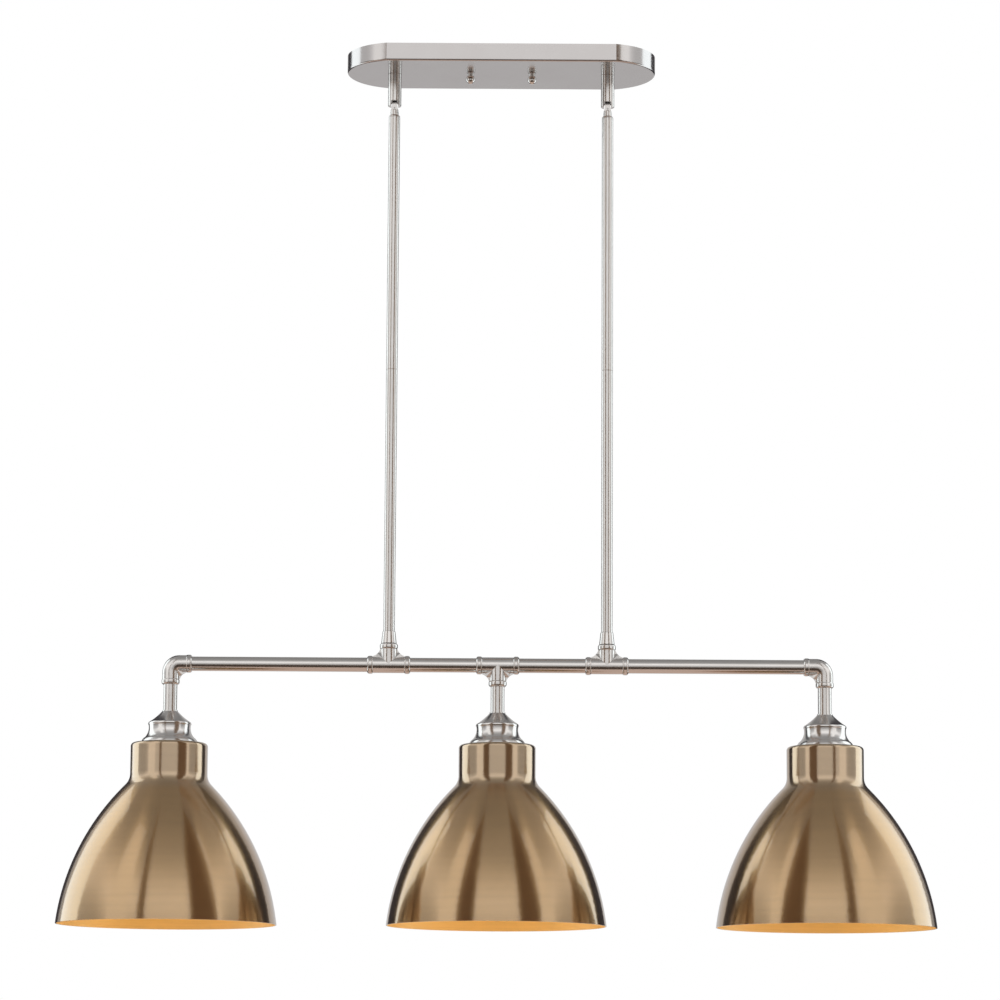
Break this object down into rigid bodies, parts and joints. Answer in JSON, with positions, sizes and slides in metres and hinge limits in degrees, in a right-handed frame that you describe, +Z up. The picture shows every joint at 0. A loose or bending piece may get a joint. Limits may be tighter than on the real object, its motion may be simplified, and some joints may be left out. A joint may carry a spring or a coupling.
{
  "type": "linear island pendant",
  "caption": "Ceiling pendant: an oblong canopy and two down rods carry a horizontal pipe bar with beaded fittings and spun dome shades on stepped socket cups.",
  "frame": {"origin": "centre of the ceiling plane, at the top face of the crossbar and the rim of the canopy", "axes": "+Z up, towards the ceiling; +X along the bar; +Y from the front of the light to its back"},
  "size_m": [0.9659, 0.242, 0.9823],
  "materials": {
    "canopy_nickel": "satin nickel plate, brushed along its length",
    "nickel": "satin nickel plate, turned and brushed",
    "cast_nickel": "satin nickel plate on cast fittings",
    "spun_brass": "satin brass, spun, with fine rings round the axis",
    "zinc_steel": "bright zinc plate",
    "pin_steel": "plain steel",
    "green_screw": "green plated ground screw",
    "shell_brass": "bright rolled brass",
    "socket_moulding": "moulded phenolic"
  },
  "bodies": {
    "root": {"canopy_pan": "canopy_nickel", "crossbar": "zinc_steel", "canopy_studs": "zinc_steel", "stud_nuts": "zinc_steel", "ground_screw": "green_screw", "canopy_nipples": "zinc_steel", "nipple_washers": "zinc_steel", "nipple_nuts": "zinc_steel", "swivel_collar_left": "nickel", "swivel_collar_right": "nickel", "swivel_fork_left": "nickel", "swivel_fork_right": "nickel", "swivel_pins": "pin_steel"},
    "knob_left": {"ball_knob_left": "nickel"},
    "knob_right": {"ball_knob_right": "nickel"},
    "ring_left": {"shade_ring_left": "socket_moulding"},
    "ring_centre": {"shade_ring_centre": "socket_moulding"},
    "ring_right": {"shade_ring_right": "socket_moulding"},
    "hanging_frame": {"rod_joiners": "zinc_steel", "cup_nipples": "zinc_steel", "cup_nuts": "zinc_steel", "link_pins": "pin_steel", "swivel_link_left": "nickel", "rod_end_left": "nickel", "upper_rod_left": "nickel", "lower_rod_left": "nickel", "rod_collar_left": "nickel", "tee_left": "cast_nickel", "elbow_left": "cast_nickel", "inner_pipe_left": "nickel", "outer_pipe_left": "nickel", "swivel_link_right": "nickel", "rod_end_right": "nickel", "upper_rod_right": "nickel", "lower_rod_right": "nickel", "rod_collar_right": "nickel", "tee_right": "cast_nickel", "elbow_right": "cast_nickel", "inner_pipe_right": "nickel", "outer_pipe_right": "nickel", "tee_centre": "cast_nickel", "drop_pipe_left": "nickel", "socket_cup_left": "nickel", "lamp_socket_left": "socket_moulding", "screw_shell_left": "shell_brass", "shade_left": "spun_brass", "drop_pipe_centre": "nickel", "socket_cup_centre": "nickel", "lamp_socket_centre": "socket_moulding", "screw_shell_centre": "shell_brass", "shade_centre": "spun_brass", "drop_pipe_right": "nickel", "socket_cup_right": "nickel", "lamp_socket_right": "socket_moulding", "screw_shell_right": "shell_brass", "shade_right": "spun_brass", "lamp_contacts": "shell_brass"}
  },
  "joints": [
    {"name": "frame_swing", "type": "hinge", "parent": "root", "child": "hanging_frame", "pos_m": [0, 0, -0.0537], "axis": [1, 0, 0], "range_deg": [-35, 35]},
    {"name": "knob_turn_left", "type": "hinge", "parent": "root", "child": "knob_left", "pos_m": [-0.03492, 0, -0.0258], "axis": [0, 0, 1], "continuous": true},
    {"name": "knob_turn_right", "type": "hinge", "parent": "root", "child": "knob_right", "pos_m": [0.03492, 0, -0.0258], "axis": [0, 0, 1], "continuous": true},
    {"name": "ring_turn_left", "type": "hinge", "parent": "hanging_frame", "child": "ring_left", "pos_m": [-0.36195, 0, -0.788], "axis": [0, 0, 1], "continuous": true},
    {"name": "ring_turn_centre", "type": "hinge", "parent": "hanging_frame", "child": "ring_centre", "pos_m": [0, 0, -0.788], "axis": [0, 0, 1], "continuous": true},
    {"name": "ring_turn_right", "type": "hinge", "parent": "hanging_frame", "child": "ring_right", "pos_m": [0.36195, 0, -0.788], "axis": [0, 0, 1], "continuous": true}
  ]
}
